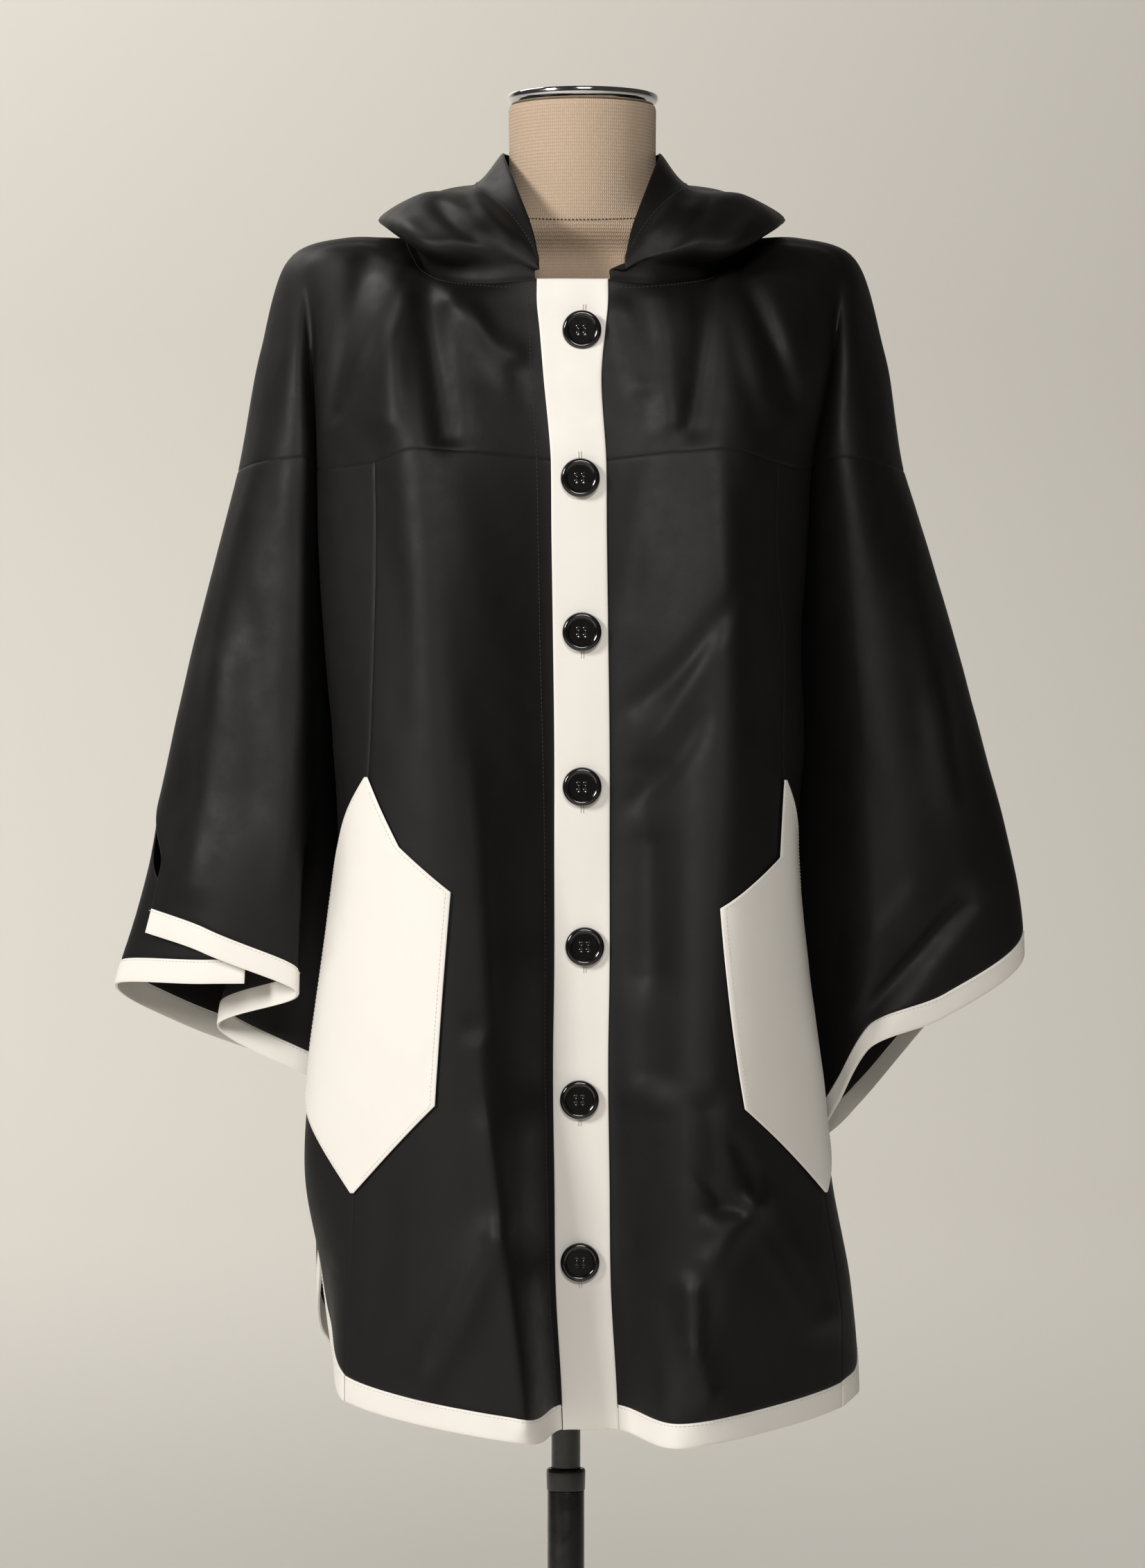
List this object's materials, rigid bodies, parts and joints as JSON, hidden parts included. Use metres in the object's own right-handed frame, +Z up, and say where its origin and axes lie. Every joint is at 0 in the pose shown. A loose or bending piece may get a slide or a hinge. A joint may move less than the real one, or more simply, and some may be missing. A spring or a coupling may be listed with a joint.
{
  "type": "hooded raincoat on a dress form stand",
  "caption": "Loose hooded raincoat with wide sleeves, a contrast button band, angular patch pockets and bound edges, on a limbless dress form with a telescopic pole stand.",
  "frame": {"origin": "middle of the round base's underside, on the pole's axis", "axes": "+Z up along the pole, -Y towards the front of the coat, +X towards the viewer's right"},
  "size_m": [0.6902, 0.36, 1.4958],
  "materials": {
    "black_cloth": "matte rubberised coating with a soft sheen",
    "white_cloth": "smooth off-white coating",
    "button": "gloss",
    "linen": "coarse plain weave",
    "chrome": "polished",
    "black_steel": "semi-gloss"
  },
  "bodies": {
    "stand": {"base": "black_steel", "socket": "black_steel", "tube_lower": "black_steel", "collar": "black_steel"},
    "form": {"yoke_front_l": "black_cloth", "front_l": "black_cloth", "side_l": "black_cloth", "sleeve_front_l": "black_cloth", "sleeve_back_l": "black_cloth", "hood_l": "black_cloth", "yoke_front_r": "black_cloth", "front_r": "black_cloth", "side_r": "black_cloth", "sleeve_front_r": "black_cloth", "sleeve_back_r": "black_cloth", "hood_r": "black_cloth", "back": "black_cloth", "yoke_back": "black_cloth", "hem_front_l": "white_cloth", "hem_side_l": "white_cloth", "cuff_front_l": "white_cloth", "cuff_back_l": "white_cloth", "pocket_l": "white_cloth", "hem_front_r": "white_cloth", "hem_side_r": "white_cloth", "cuff_front_r": "white_cloth", "cuff_back_r": "white_cloth", "pocket_r": "white_cloth", "hem_back": "white_cloth", "placket": "white_cloth", "button_1": "button", "button_2": "button", "button_3": "button", "button_4": "button", "button_5": "button", "button_6": "button", "button_7": "button", "dress_form": "linen", "neck_cap": "chrome", "tube_upper": "black_steel"}
  },
  "joints": [
    {"name": "height", "type": "slide", "parent": "stand", "child": "form", "axis": [0, 0, 1], "range_m": [-0.15, 0.15]}
  ]
}
